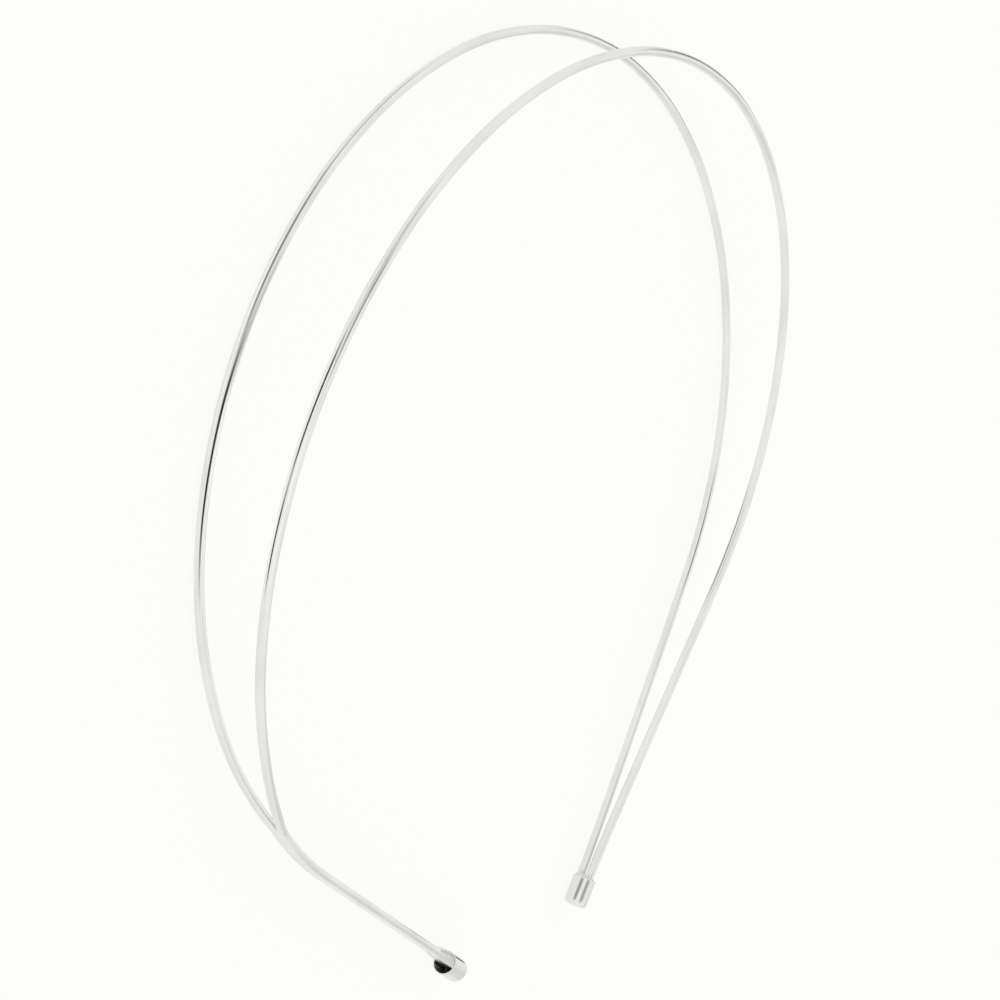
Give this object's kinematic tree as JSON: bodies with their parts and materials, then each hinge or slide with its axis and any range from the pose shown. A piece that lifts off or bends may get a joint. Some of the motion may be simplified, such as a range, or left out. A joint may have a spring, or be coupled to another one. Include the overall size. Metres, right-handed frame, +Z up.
{
  "type": "metal headband",
  "caption": "Open arch of doubled round metal wire for the head, spread over the crown and held together in a small hollow cap at each end.",
  "frame": {"origin": "under the middle of the band's box, on the surface that it lies on", "axes": "+Z up from that surface, from the back wire to the front wire; +Y from the two ends to the crown; +X from the left end to the right end"},
  "size_m": [0.1312, 0.1516, 0.0191],
  "materials": {
    "wire": "bright silver plate, polished",
    "cap": "bright silver plate, polished"
  },
  "bodies": {
    "root": {"wire_front": "wire", "wire_back": "wire", "cap_left": "cap", "cap_right": "cap"}
  },
  "joints": []
}
